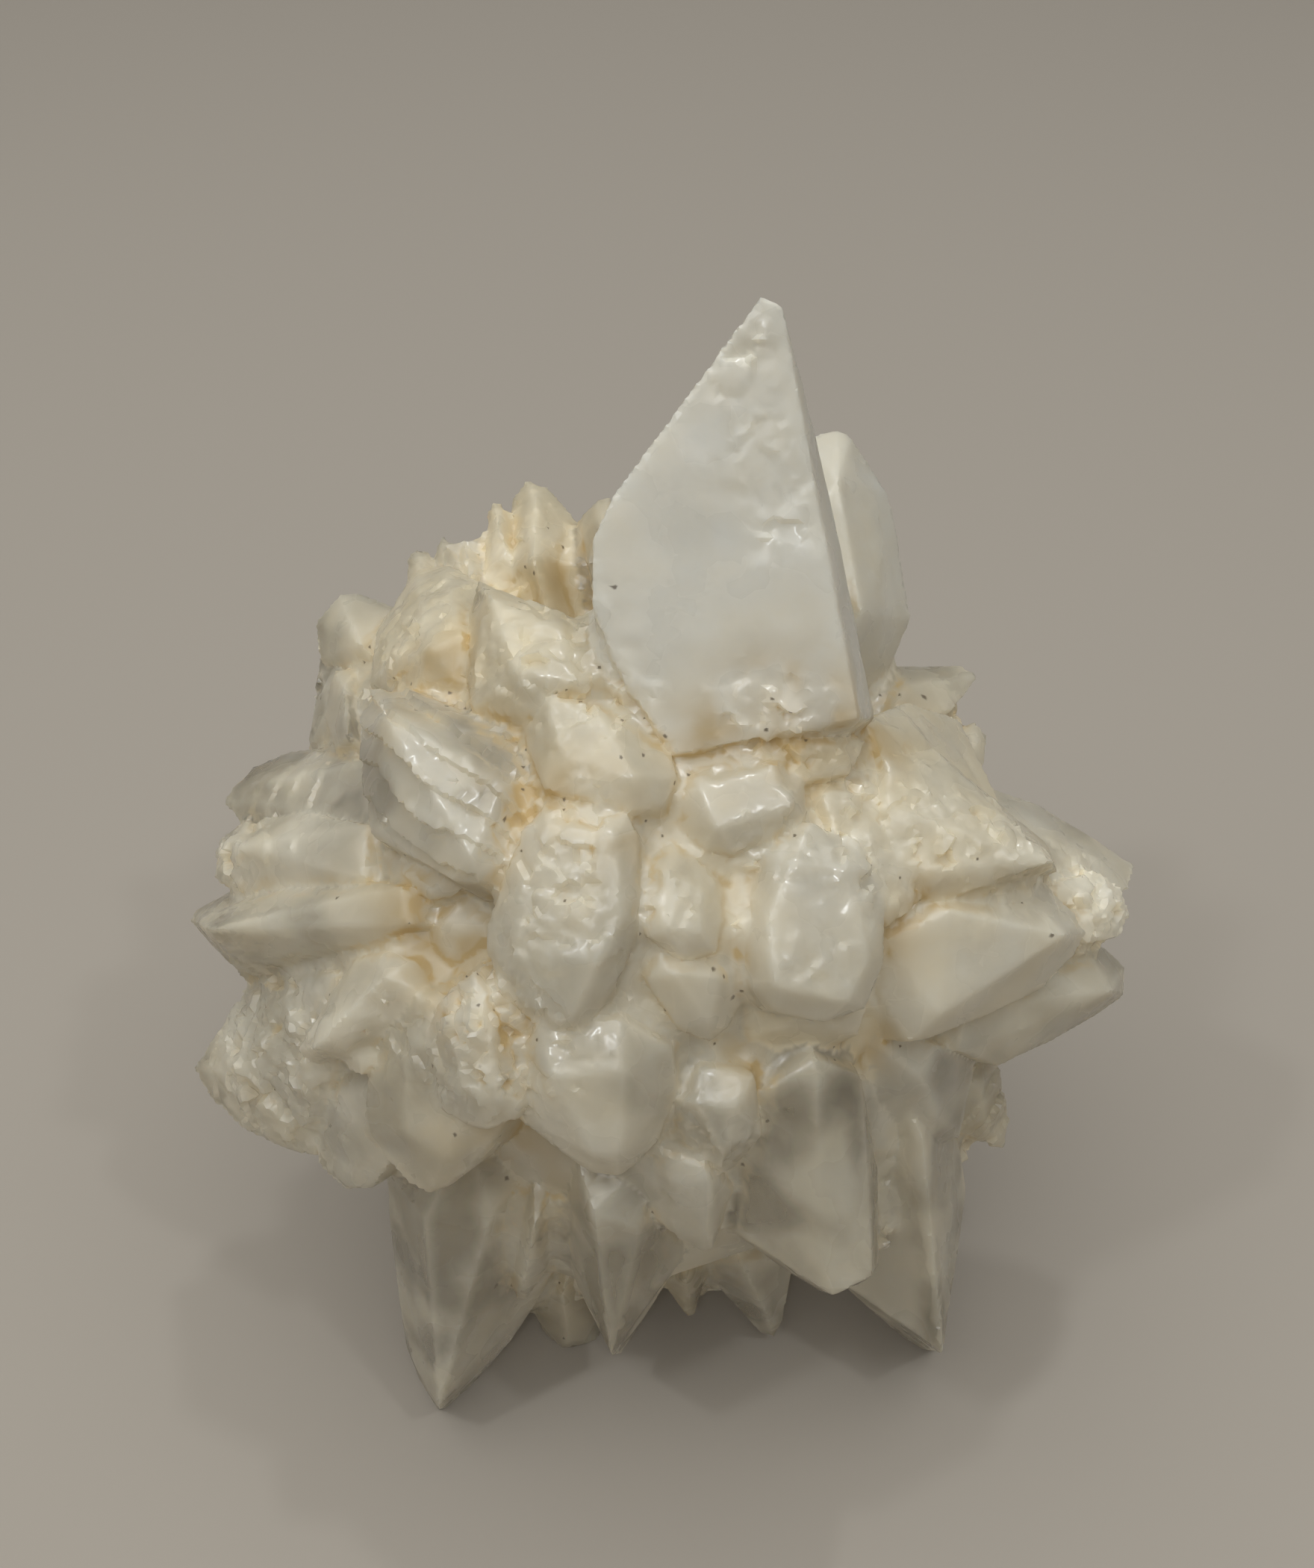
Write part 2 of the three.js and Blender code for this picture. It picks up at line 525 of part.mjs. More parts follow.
const LOWEST = {
  leftFoot: {
    rim: [
      [-34, -27, 10], [-33.3, -35.5, 6], [-31.9, -41.8, 2], [-31.5, -49.1, -3], [-30.1, -52.9, -6],
      [-27.6, -57.4, -8], [-26.4, -57.4, -8], [-24, -54.6, -6], [-19, -49.2, -3],
      [-15.3, -43.7, 0], [-14, -37, 8], [-16, -28, 22], [-24, -24, 25],
    ],
    crown: [[-29, -34, 20], [-28.4, -47, 7], [-22, -42.4, 13], [-21, -33, 23], [-26.5, -54, -1]],
  },
  sideSpike: {
    rim: [
      [-18.4, -33.5, 18], [-15.9, -29, 24], [-12.6, -33.5, 20], [-14.3, -40, 14],
      [-16.8, -43.8, 10], [-18, -43.6, 10], [-18.7, -40.9, 12],
    ],
    crown: [[-15.8, -35, 26], [-17, -41, 17]],
  },
  glassySpike: {
    rim: [
      [-13.4, -32, 20], [-11, -25.5, 30], [-1.5, -26.5, 30], [3, -37.3, 18], [0.2, -41, 13],
      [-2.6, -45.5, 7], [-5.2, -50.2, 1], [-6.2, -50.2, 1], [-8.7, -45.5, 7], [-10.7, -41.8, 12],
    ],
    crown: [[-8.6, -33, 32], [-6.2, -47.4, 9], [-3, -35, 30], [-3.6, -42, 20]],
  },
  rearSpike: {
    rim: [
      [-17, -43, -8], [-14, -38, -4], [-9.5, -42, -6], [-8, -49, -11], [-11.6, -51, -13],
      [-13.4, -50.6, -13],
    ],
    crown: [[-12.4, -43, 0], [-11.8, -48.4, -6]],
  },
  littleSpike: {
    rim: [
      [-0.4, -41.4, 0], [2.4, -36.5, 4], [5.4, -39.5, 1], [3.6, -45.8, -4], [2.8, -45.9, -4],
    ],
    crown: [[2.6, -41, 7]],
  },
  farSpike: {
    rim: [
      [3.6, -39, -2], [6.4, -34, 4], [16, -38, 0], [14.4, -46.4, -7], [13.3, -48.2, -9],
      [11.8, -47.9, -9],
    ],
    crown: [[9.4, -39.5, 7], [12.4, -45.4, -2]],
  },
  rightFoot: {
    rim: [
      [20, -40.5, 4], [26, -25, 18], [28.2, -17.5, 24], [33.6, -17.5, 14], [36, -25.5, 4],
      [36.7, -30, 0], [35.1, -35.5, -4], [33.9, -46.6, -11], [32.6, -49.8, -14],
      [30.6, -49.6, -14],
    ],
    crown: [[31.4, -24, 22], [32.6, -32, 12], [31.8, -46, -5], [25.4, -39, 9]],
  },
};

// The hindmost crystal that the specimen stands on points down behind the core, to a place [x, y, z] from the
// core's centre that lies under the resting surface.
const REAR_FOOT = { end: [6, 30, -51], wide: 19 };

// A crystal is as deep behind its rim as its crown stands in front, and narrows to a root inside the core
function crystal({ rim, crown }) {
  const edge = rim.map(seen);
  const face = crown.map(seen);
  const middle = middleOf(edge);
  const behind = (point) => 2 * (middle.dot(VIEW_OUT) - point.dot(VIEW_OUT));
  const back = face.map((point) => point.clone().addScaledVector(VIEW_OUT, behind(point)));
  const root = edge.map((point) => {
    const fromMiddle = point.clone().sub(middle);
    return middle.clone().multiplyScalar(ROOT_SHARE).addScaledVector(fromMiddle, ROOT_WIDTH);
  });
  return { middle, solid: solidOf(new ConvexGeometry([...edge, ...face, ...back, ...root])) };
}

// A stout six-sided crystal that points one way, with an uneven shoulder and a blunt leaning end
function stoutCrystal(way, reach, wide, between) {
  const side = new THREE.Vector3(-way.y, way.x, 0.3).cross(way).normalize();
  side.applyAxisAngle(way, between([0, 2 * Math.PI]));
  const across = new THREE.Vector3().crossVectors(way, side);
  const squash = between(STOUT_SQUASH);
  const lean = wide * between([-STOUT_LEAN, STOUT_LEAN]);
  const at = (turn, radius, height, moved) =>
    new THREE.Vector3()
      .addScaledVector(way, height)
      .addScaledVector(side, Math.cos(turn) * radius + moved)
      .addScaledVector(across, Math.sin(turn) * radius * squash);
  const points = [];
  for (let edge = 0; edge < 6; edge++) {
    const turn = ((edge + between([-0.25, 0.25])) * Math.PI) / 3;
    const under = wide * STOUT_SHOULDERS[edge % 2] * between(STOUT_UNEVEN);
    points.push(at(turn, (wide / 2) * between(STOUT_UNEVEN), reach - under, 0));
    points.push(at(turn, (wide / 2) * ROOT_WIDTH, reach * ROOT_SHARE, 0));
    if (edge % 2) points.push(at(turn, wide * between(STOUT_END), reach, lean));
  }
  return solidOf(new ConvexGeometry(points));
}

// How far a filling crystal may reach one way
function longestReach(way) {
  const aboveSurface = way.z < 0 ? (FILL_LOWEST - CORE_HEIGHT) / way.z : Infinity;
  const belowSkyline = way.dot(VIEW_OUT) > SKYLINE_FROM ? SKYLINE_REACH : Infinity;
  return Math.min(aboveSurface, belowSkyline);
}

// Crystals for the sides that the viewer doesn't see, spread evenly, each with a smaller one on its flank
function fillingCrystals(taken, between) {
  const golden = Math.PI * (3 - Math.sqrt(5));
  const nearest = Math.cos(THREE.MathUtils.degToRad(FILL_CLEARANCE));
  const grown = [];
  for (let i = 0; i < FILL_COUNT; i++) {
    const height = 1 - (2 * (i + 0.5)) / FILL_COUNT;
    const around = i * golden + between([-FILL_SWAY, FILL_SWAY]) / 2;
    const level = Math.sqrt(1 - height * height);
    const way = new THREE.Vector3(Math.cos(around) * level, Math.sin(around) * level, height);
    const crowded = taken.some((other) => other.dot(way) > nearest);
    if (crowded || way.dot(VIEW_OUT) > UNSEEN_FROM) continue;
    taken.push(way);
    const reach = Math.min(between(FILL_REACH), longestReach(way));
    const wide = between(FILL_WIDTH);
    grown.push(stoutCrystal(way, reach, wide, between));
    const turned = [0, 1, 2].map(() => between([-FLANK_TURN, FLANK_TURN]));
    const flank = new THREE.Vector3(...turned).add(way).normalize();
    grown.push(stoutCrystal(flank, reach * FLANK_REACH, wide * FLANK_WIDTH, between));
  }
  return grown;
}

function cluster() {
  const random = randomSource(FILL_SEED);
  const between = ([low, high]) => low + (high - low) * random();
  const groups = [SKYLINE, RIGHT_SIDE, MIDDLE, LEFT_SIDE, BELOW_MIDDLE, LOWEST];
  const front = groups.flatMap(Object.values).map(crystal);
  const footEnd = new THREE.Vector3(...REAR_FOOT.end);
  const foot = stoutCrystal(footEnd.clone().normalize(), footEnd.length(), REAR_FOOT.wide, between);
  const places = [footEnd, middleOf(SPIRE.root.map(seen)), ...front.map(({ middle }) => middle)];
  const taken = places.map((place) => place.clone().normalize());
  const solids = [core(), spire(), foot, ...front.map(({ solid }) => solid)];
  return [...solids, ...fillingCrystals(taken, between)].reduce((joined, solid) => joined.add(solid));
}

// What would lie under the resting plane is worn away
function wornFlat(solid) {
  const below = new THREE.BoxGeometry(WEAR_BLOCK, WEAR_BLOCK, WEAR_BLOCK);
  below.translate(0, 0, -CORE_HEIGHT - WEAR_BLOCK / 2);
  return solid.subtract(solidOf(below));
}

function geometryOf(solid) {
  const mesh = solid.getMesh();
  const geometry = new THREE.BufferGeometry();
  geometry.setAttribute("position", new THREE.BufferAttribute(mesh.vertProperties, 3));
  geometry.setIndex(new THREE.BufferAttribute(mesh.triVerts, 1));
  geometry.computeBoundingBox();
  return geometry;
}

const geometry = geometryOf(wornFlat(cluster()).simplify(SLIVER));
const middle = geometry.boundingBox.getCenter(new THREE.Vector3());
geometry.translate(-middle.x, -middle.y, -geometry.boundingBox.min.z);
geometry.computeVertexNormals();

const calcite = new THREE.MeshStandardMaterial({ color: 0xdcd6c4, roughness: 0.3, metalness: 0 });
const crystals = new THREE.Mesh(geometry, calcite);
crystals.name = "calcite_cluster";

const specimen = new THREE.Group();
specimen.add(crystals);
export default specimen;
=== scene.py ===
# %% [markdown]
# # A calcite specimen
#
# A fist-sized cluster of milky calcite: stubby crystals that grew outwards from one core, with one tall
# rhombohedral crystal on top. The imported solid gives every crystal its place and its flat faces. This
# lesson grows the finer forms on it (growth ledges, etched faces, worn edges) and then paints the stone.

# %% Load the frame
import math

import bmesh
import bpy
import numpy as np
from mathutils import Matrix, Vector, noise
from mathutils.bvhtree import BVHTree
from mathutils.kdtree import KDTree


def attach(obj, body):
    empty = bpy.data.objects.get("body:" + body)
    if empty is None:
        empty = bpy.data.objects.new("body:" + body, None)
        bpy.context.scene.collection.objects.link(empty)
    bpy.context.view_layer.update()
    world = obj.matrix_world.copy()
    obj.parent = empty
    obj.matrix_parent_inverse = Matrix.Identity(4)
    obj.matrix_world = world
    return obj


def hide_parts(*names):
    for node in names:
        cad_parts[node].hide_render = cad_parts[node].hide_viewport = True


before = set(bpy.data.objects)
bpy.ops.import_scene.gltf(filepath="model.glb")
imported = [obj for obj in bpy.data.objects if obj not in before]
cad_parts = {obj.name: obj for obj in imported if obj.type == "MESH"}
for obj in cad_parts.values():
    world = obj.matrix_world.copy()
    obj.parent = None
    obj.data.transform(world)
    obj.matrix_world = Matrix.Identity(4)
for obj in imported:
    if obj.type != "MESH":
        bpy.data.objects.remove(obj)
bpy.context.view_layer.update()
MM = 0.001  # the frame is in metres, and the lesson thinks in millimetres

# %% [markdown]
# ## The camera
#
# The camera is taken to be about a quarter of a metre away, looking down by 38 degrees. It comes first,
# because the stains and rough spots further on are placed by where they show in the picture: a line from
# the camera through that place meets the stone in one point, and the spot stays on the stone there from
# every side.

# %% Set up the camera
PICTURE = (1760, 2100)  # width and height of the picture
FOCAL_PIXELS = 2600
SENSOR = 36
LOOK_DOWN = math.radians(38)
CORE = Vector((0.464, -2.657, 47)) * MM  # the middle of the core that the crystals grow from
EYE = Vector((-0.9, 19, 236)) * MM  # right of, above and out from the core, across the view

turn = Matrix.Rotation(math.pi / 2 - LOOK_DOWN, 4, "X")
camera_data = bpy.data.cameras.new("camera")
camera_data.sensor_width = SENSOR
camera_data.lens = FOCAL_PIXELS / max(PICTURE) * SENSOR
camera_data.clip_start = 0.01
camera = bpy.data.objects.new("camera", camera_data)
camera.matrix_world = Matrix.Translation(CORE) @ turn @ Matrix.Translation(EYE)
bpy.context.scene.collection.objects.link(camera)
bpy.context.scene.camera = camera
print("camera at", camera.matrix_world.translation, "lens", round(camera_data.lens, 2))

# %% [markdown]
# ## Which face belongs to which crystal
#
# The solid is one skin with no seams, but its crystals can still be told apart: inside one crystal, faces
# meet along edges that stand out, and two crystals meet along a crease that goes in. So a walk over the
# faces that never crosses a crease finds one crystal after another. The copy of the solid's mesh is
# merged first, because its triangles come loose.

# %% Find the crystals
CREASE = math.radians(-1)  # an edge that goes in by more than this parts two crystals
SHORT = 0.5 * MM  # a shorter edge doesn't join two faces into one crystal

plain = bmesh.new()
plain.from_mesh(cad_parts["calcite_cluster"].data)
bmesh.ops.remove_doubles(plain, verts=plain.verts, dist=0.001 * MM)
plain.faces.ensure_lookup_table()
plain.faces.index_update()


def walk_from(first, taken):
    found = [first]
    taken.add(first.index)
    for face in found:
        for edge in face.edges:
            if edge.calc_face_angle_signed(0) < CREASE or edge.calc_length() < SHORT:
                continue
            for other in edge.link_faces:
                if other.index not in taken:
                    taken.add(other.index)
                    found.append(other)
    return found


taken = set()
crystals = [walk_from(face, taken) for face in plain.faces if face.index not in taken]
crystal_of_face = np.zeros(len(plain.faces), int)
for number, faces in enumerate(crystals):
    for face in faces:
        crystal_of_face[face.index] = number
solid = BVHTree.FromBMesh(plain)
print(len(plain.faces), "facets in", len(crystals), "crystals")

# %% [markdown]
# ## Every crystal's own look
#
# Calcite grows in steps that run across the way a crystal points. Each crystal gets a step direction near
# its own axis, and three numbers of about 0 to 1: how cream it is, how clear, and how stepped. Crystals
# that the picture shows are named, each with a place on it. The rest draw their numbers from one seeded
# source. The tall crystal comes last, so that no neighbour's look overrules it.

# %% Give each crystal its look
LEAN = 0.25  # how far a step direction may lean away from the crystal's axis
NEAR = 9 * MM  # a small facet this near to a named crystal's place looks like that crystal
LOOKS = {  # place in the picture: across, down; then cream, clear, stepped
    # painted light in part: the rear blade's low cream and zero clear make it paler than its own tone would,
    # standing in for light falling on its upright face
    "rear blade": (1150, 720, 0.12, 0.00, 0.25),
    "crest": (690, 700, 0.80, 0.00, 0.50),
    "cream face": (720, 870, 0.85, 0.20, 0.60),
    "blunt end": (475, 850, 0.50, 0.35, 0.00),
    "upper mass": (575, 830, 0.95, 0.10, 0.50),
    "ribbed block": (590, 1050, 0.30, 0.50, 1.00),
    "pillow": (800, 1000, 0.70, 0.20, 0.40),
    "glassy block": (985, 1060, 0.50, 0.20, 0.50),
    "stained ledge": (1110, 1012, 0.90, 0.10, 0.50),
    "white tooth": (1140, 1070, 0.80, 0.10, 0.50),
    "shield": (750, 1200, 0.45, 0.28, 0.40),
    "small shield": (920, 1200, 0.50, 0.25, 0.50),
    "low facet": (940, 1320, 0.50, 0.35, 0.30),
    "smooth dome": (1090, 1200, 0.35, 0.18, 0.15),
    "ledge under dome": (1090, 1390, 0.80, 0.10, 0.30),
    "grey shelf": (1190, 1150, 0.60, 0.15, 0.50),
    "upper shoulder": (1215, 1000, 0.70, 0.10, 0.40),
    "shoulder": (1280, 1080, 0.70, 0.15, 0.40),
    "broad face": (1310, 1250, 0.45, 0.06, 0.15),
    "long arm": (1400, 1120, 0.35, 0.25, 0.20),
    "broken end": (1470, 1190, 0.50, 0.00, 0.80),
    "lower arm": (1430, 1340, 0.40, 0.30, 0.30),
    "thorn": (1240, 910, 0.50, 0.30, 0.30),
    "upper finger": (400, 1080, 0.35, 0.50, 0.50),
    "middle finger": (390, 1170, 0.40, 0.28, 0.60),
    "lower finger": (370, 1240, 0.45, 0.42, 0.30),
    "rough paddle": (350, 1420, 0.35, 0.35, 0.60),
    "ridged tooth": (470, 1370, 0.45, 0.20, 0.50),
    "left tooth": (445, 1520, 0.30, 0.40, 0.30),
    "rounded tooth": (560, 1480, 0.60, 0.40, 0.40),
    "sugar block": (640, 1400, 0.35, 0.35, 0.70),
    "broad drop": (800, 1470, 0.45, 0.32, 0.20),
    "hooked tooth": (960, 1500, 0.40, 0.40, 0.40),
    "speckly drop": (930, 1620, 0.25, 0.35, 0.50),
    "long drop": (1080, 1580, 0.45, 0.64, 0.30),
    "low thorn": (1240, 1600, 0.30, 0.55, 0.20),
    "left foot": (590, 1700, 0.35, 0.62, 0.30),
    "glassy spike": (825, 1680, 0.30, 0.68, 0.10),
    "right foot": (1230, 1740, 0.30, 0.50, 0.20),
    "far spike": (1010, 1770, 0.20, 0.50, 0.20),
    # painted light in part: the tall crystal's cream below zero gives its own cool tone and also makes it
    # paler, standing in for light falling on its upright faces
    "tall crystal": (960, 700, -0.08, 0.00, 0.10),
}
UNNAMED_LOOKS = ((0.2, 0.8), (0.1, 0.6), (0, 1))  # from and to, for cream, clear and stepped
STEP_ANGLES = {"ribbed block": 55, "cream face": 48, "smooth dome": 88}  # degrees from right, in the picture


def on_stone(across, down):
    """The point of the stone, and the facet, that show at this place of the picture."""
    aim = Vector(((across - PICTURE[0] / 2) / FOCAL_PIXELS, (PICTURE[1] / 2 - down) / FOCAL_PIXELS, -1))
    eye = camera.matrix_world
    found = solid.ray_cast(eye.translation, eye.to_3x3() @ aim)
    return found[0], found[2]


rng = np.random.default_rng(11)
grain = np.zeros((len(crystals), 3))
for number, faces in enumerate(crystals):
    tip = max((vert.co for face in faces for vert in face.verts), key=lambda place: (place - CORE).length)
    axis = np.array((tip - CORE).normalized()) + LEAN * rng.normal(0, 1, 3)
    grain[number] = axis / np.linalg.norm(axis)
cream, clear, stepped = (rng.uniform(low, high, len(crystals)) for low, high in UNNAMED_LOOKS)
middles = [sum((face.calc_center_median() for face in faces), Vector()) / len(faces) for faces in crystals]
named = {name: on_stone(across, down) for name, (across, down, *look) in LOOKS.items()}
for number, middle in enumerate(middles):
    name = min(named, key=lambda each: (named[each][0] - middle).length)
    if (named[name][0] - middle).length < NEAR:
        cream[number], clear[number], stepped[number] = LOOKS[name][2:]
for name, (point, facet) in named.items():
    number = crystal_of_face[facet]
    cream[number], clear[number], stepped[number] = LOOKS[name][2:]
    if name in STEP_ANGLES:
        angle = math.radians(STEP_ANGLES[name])
        for each, middle in enumerate(middles):
            if each == number or (point - middle).length < NEAR:
                grain[each] = turn.to_3x3() @ Vector((math.cos(angle), math.sin(angle), 0))
print(len(LOOKS), "crystals given a look of their own")

# %% [markdown]
# ## Filling the seams
#
# The crystals don't stand apart: later calcite grew into the seams between them, so that only shallow,
# narrow creases stay open. A copy of the stone that is swollen by a few millimetres and shrunk back again
# has lost every gap narrower than that, while its open faces are where they were. Joined to the solid, it
# fills just the seams.

# %% Make the seam filling
SEAM = 3 * MM  # gaps up to twice this wide are filled
SEAM_GRID = 0.6 * MM
UNDER_FACES = 1.2 * MM  # the filling stays this far under the open faces


def new_piece(name, source):
    mesh = bpy.data.meshes.new(name)
    source.to_mesh(mesh)
    piece = bpy.data.objects.new(name, mesh)
    bpy.context.scene.collection.objects.link(piece)
    return piece


def applied(piece):
    """Turns the piece's modifiers into plain mesh."""
    seen_piece = piece.evaluated_get(bpy.context.evaluated_depsgraph_get())
    made = bpy.data.meshes.new_from_object(seen_piece)
    piece.modifiers.clear()
    piece.data = made


def modify(piece, kind, **settings):
    modifier = piece.modifiers.new(kind.lower(), kind)
    for name, value in settings.items():
        setattr(modifier, name, value)


filling = new_piece("filling", plain)
for distance in (SEAM, -SEAM - UNDER_FACES):
    modify(filling, "REMESH", mode="VOXEL", voxel_size=SEAM_GRID)
    modify(filling, "DISPLACE", strength=distance, mid_level=0)
modify(filling, "REMESH", mode="VOXEL", voxel_size=SEAM_GRID)
applied(filling)
print("filling of", len(filling.data.polygons), "faces")

# %% [markdown]
# ## A skin fine enough to carry detail
#
# The facets are far too large to hold a ledge, so a Remesh modifier lays an even net over the joined
# stone. Its sharp mode keeps the crisp edges between faces, which a voxel remesh would round off.

# %% Lay a fine net over the stone
NET_DEPTH = 8
NET_SCALE = 0.85

skin = new_piece("calcite_skin", plain)
modify(skin, "BOOLEAN", operation="UNION", solver="MANIFOLD", object=filling)
modify(skin, "REMESH", mode="SHARP", octree_depth=NET_DEPTH, scale=NET_SCALE, use_remove_disconnected=True)
applied(skin)
bpy.data.objects.remove(filling)
print("net of", len(skin.data.polygons), "faces")

# %% [markdown]
# ## Where the worn edges run
#
# Edges that stand out wear. Points strung along them answer how far any place on the stone is from the
# nearest one. The nearest point of the solid also tells which crystal the place belongs to, and how deep
# the filling is.

# %% Measure edges
STRING = 0.4  # millimetres between the points strung along an edge
WORN_FROM = math.radians(22)  # edges that stand out at least this much wear


def strung_edges():
    places = []
    for edge in plain.edges:
        if edge.calc_face_angle_signed(0) > WORN_FROM:
            a, b = (vert.co for vert in edge.verts)
            count = max(2, math.ceil((b - a).length / MM / STRING))
            places += [a.lerp(b, step / (count - 1)) for step in range(count)]
    tree = KDTree(len(places))
    for number, place in enumerate(places):
        tree.insert(place, number)
    tree.balance()
    return tree


edges = strung_edges()


def measured(mesh):
    """Crystal number, and millimetres to the solid and to a worn edge, for every vertex."""
    places = [vert.co for vert in mesh.vertices]
    nearest = [solid.find_nearest(place) for place in places]
    numbers = np.array([crystal_of_face[found[2]] for found in nearest])
    off_solid = np.array([found[3] for found in nearest]) / MM
    to_edge = np.array([edges.find(place)[2] for place in places]) / MM
    return numbers, off_solid, to_edge


# %% [markdown]
# ## Spots that the picture shows
#
# Some crystals are etched rough like sugar, and iron has stained some hollows ochre. Each spot is given
# by its place in the picture, its radius in millimetres and its strength.

# %% Place the spots
FILLED_FROM, FILLED_TO = 0.15, 0.95  # millimetres off the solid where the seam filling begins and is whole
ROUNDED = 0.9  # millimetres to either side of an edge that are rounded off
ROUGH_SPOTS = [
    (640, 1400, 9, 1.0), (770, 1110, 5, 0.9), (760, 1200, 7, 0.5), (800, 950, 5, 0.9), (690, 870, 9, 0.6),
    (350, 1420, 11, 0.9), (1470, 1210, 6, 1.0), (1150, 1060, 5, 0.9), (1040, 985, 6, 0.7),
    (1360, 1120, 6, 0.8), (540, 1380, 5, 0.6), (540, 850, 8, 0.5), (985, 480, 4, 0.35), (1020, 590, 5, 0.3),
    (1060, 690, 4, 0.3), (1060, 1120, 6, 0.6), (1150, 1150, 5, 0.7), (1340, 1190, 5, 0.35),
    (1100, 1290, 5, 0.25), (1170, 1165, 4, 0.8), (900, 1210, 4, 0.6), (300, 1150, 6, 0.7),
    (600, 1080, 7, 0.25), (1250, 1120, 8, 0.6), (960, 1530, 5, 0.5),
]
STAIN_SPOTS = [
    (960, 990, 4.5, 0.9), (1040, 965, 6, 1.0), (1110, 968, 5, 0.8), (1170, 985, 4, 0.7), (760, 775, 5.5, 1.0),
    (775, 805, 4, 0.9), (585, 900, 6, 0.8), (600, 930, 5, 0.7), (690, 985, 4, 0.8), (700, 1060, 4, 0.8),
    (760, 1060, 4, 0.7), (850, 1085, 5, 0.7), (900, 1020, 3.5, 0.8), (690, 1150, 3, 0.8), (560, 1230, 5, 0.9),
    (600, 1250, 7, 0.8), (580, 1240, 4, 1.2), (640, 1210, 4, 0.7), (590, 1345, 3.5, 0.7),
    (690, 1390, 3.5, 0.9), (985, 1210, 4, 0.6), (990, 1290, 3, 0.8), (1000, 1420, 3, 1.0),
    (1170, 1400, 4, 0.7), (1190, 1270, 4, 0.6), (1230, 1195, 3, 0.6), (1190, 945, 4, 0.7),
    (1150, 1010, 4, 0.7), (1185, 1005, 3, 0.7), (700, 1540, 8, 0.5), (640, 1530, 6, 0.4),
]


def spotted(mesh, spots):
    """How strongly the spots cover each vertex, from 0 to about 1."""
    places = np.array([vert.co for vert in mesh.vertices])
    cover = np.zeros(len(places))
    for across, down, radius, strength in spots:
        middle = on_stone(across, down)[0]
        away = np.linalg.norm(places - np.array(middle), axis=1) / (radius * MM)
        cover = np.maximum(cover, strength * np.exp(-(away**2)))
    return cover


def keep_values(mesh, name, values):
    """Stores one number, or one vector, for each vertex."""
    kind = "FLOAT_VECTOR" if np.ndim(values) == 2 else "FLOAT"
    layer = mesh.attributes.get(name) or mesh.attributes.new(name, kind, "POINT")
    field = "vector" if kind == "FLOAT_VECTOR" else "value"
    layer.data.foreach_set(field, np.ravel(values).astype(np.float32))


numbers, off_solid, to_edge = measured(skin.data)
filled = np.clip((off_solid - FILLED_FROM) / (FILLED_TO - FILLED_FROM), 0, 1)
keep_values(skin.data, "grain", grain[numbers])
keep_values(skin.data, "stepped", stepped[numbers])
keep_values(skin.data, "sugar", spotted(skin.data, ROUGH_SPOTS))
keep_values(skin.data, "edge", np.exp(-((to_edge / ROUNDED) ** 2)))
keep_values(skin.data, "filled", filled)
print("values kept:", [layer.name for layer in skin.data.attributes])

# %% [markdown]
# ## Maths on sockets
#
# The growth of the skin is a sum of textures, and its finish a sum of values. Written with bare nodes,
# such sums are long, so one small class wraps a socket: arithmetic on wires adds the Math nodes, and one
# method any other.


# %% A wire: a socket with arithmetic
class Wire:
    def __init__(self, tree, socket=None):
        self.tree = tree
        self.socket = socket

    def node(self, kind, settings=None, inputs=None, out=0):
        """Adds a node: its settings first, then the values or links of its sockets."""
        made = self.tree.nodes.new(kind)
        for name, value in (settings or {}).items():
            setattr(made, name, value)
        for key, value in (inputs or {}).items():
            if isinstance(value, Wire):
                self.tree.links.new(value.socket, made.inputs[key])
            else:
                made.inputs[key].default_value = value
        return Wire(self.tree, made.outputs[out] if made.outputs else made)

    def maths(self, operation, *values):
        return self.node("ShaderNodeMath", {"operation": operation}, dict(enumerate(values)))

    def __add__(self, other):
        return self.maths("ADD", self, other)

    def __sub__(self, other):
        return self.maths("SUBTRACT", self, other)

    def __rsub__(self, other):
        return self.maths("SUBTRACT", other, self)

    def __mul__(self, other):
        return self.maths("MULTIPLY", self, other)

    def __truediv__(self, other):
        return self.maths("DIVIDE", self, other)

    def __rtruediv__(self, other):
        return self.maths("DIVIDE", other, self)

    __radd__ = __add__
    __rmul__ = __mul__

    def rise(self, low, high):
        """0 below low, 1 above high, smooth between."""
        limits = {"Value": self, "From Min": low, "From Max": high}
        return self.node("ShaderNodeMapRange", {"interpolation_type": "SMOOTHSTEP"}, limits)

    def noise(self, size, detail):
        """Noise from 0 to 1 over a place in millimetres, with blobs of about this size."""
        return self.node("ShaderNodeTexNoise", None, {"Vector": self, "Scale": 1 / size, "Detail": detail})

    def facets(self, size):
        """The height of small flat facets of about this size that each lean their own way."""
        cell = self.node("ShaderNodeTexVoronoi", None, {"Vector": self, "Scale": 1 / size}, "Color")
        centre = Wire(self.tree, cell.socket.node.outputs["Position"])
        lean = self.node("ShaderNodeVectorMath", {"operation": "SUBTRACT"}, {0: cell, 1: (0.5, 0.5, 0.5)})
        return lean.along(self.node("ShaderNodeVectorMath", {"operation": "SUBTRACT"}, {0: self, 1: centre}))

    def scaled(self, factor):
        return self.node("ShaderNodeVectorMath", {"operation": "SCALE"}, {0: self, "Scale": factor})

    def along(self, other):
        return self.node("ShaderNodeVectorMath", {"operation": "DOT_PRODUCT"}, {0: self, 1: other}, "Value")


print("wires ready")

# %% [markdown]
# ## Growing ledges, etching faces and wearing edges
#
# A rule makes all the fine forms, so Geometry Nodes apply it to every point of the net: swell and sag
# over a few millimetres, saw-tooth ledges across the crystal's grain, small tilted facets on the etched
# spots, like sugar, and chips along the worn edges. The points first move a little towards their
# neighbours, which takes the knife edge off.

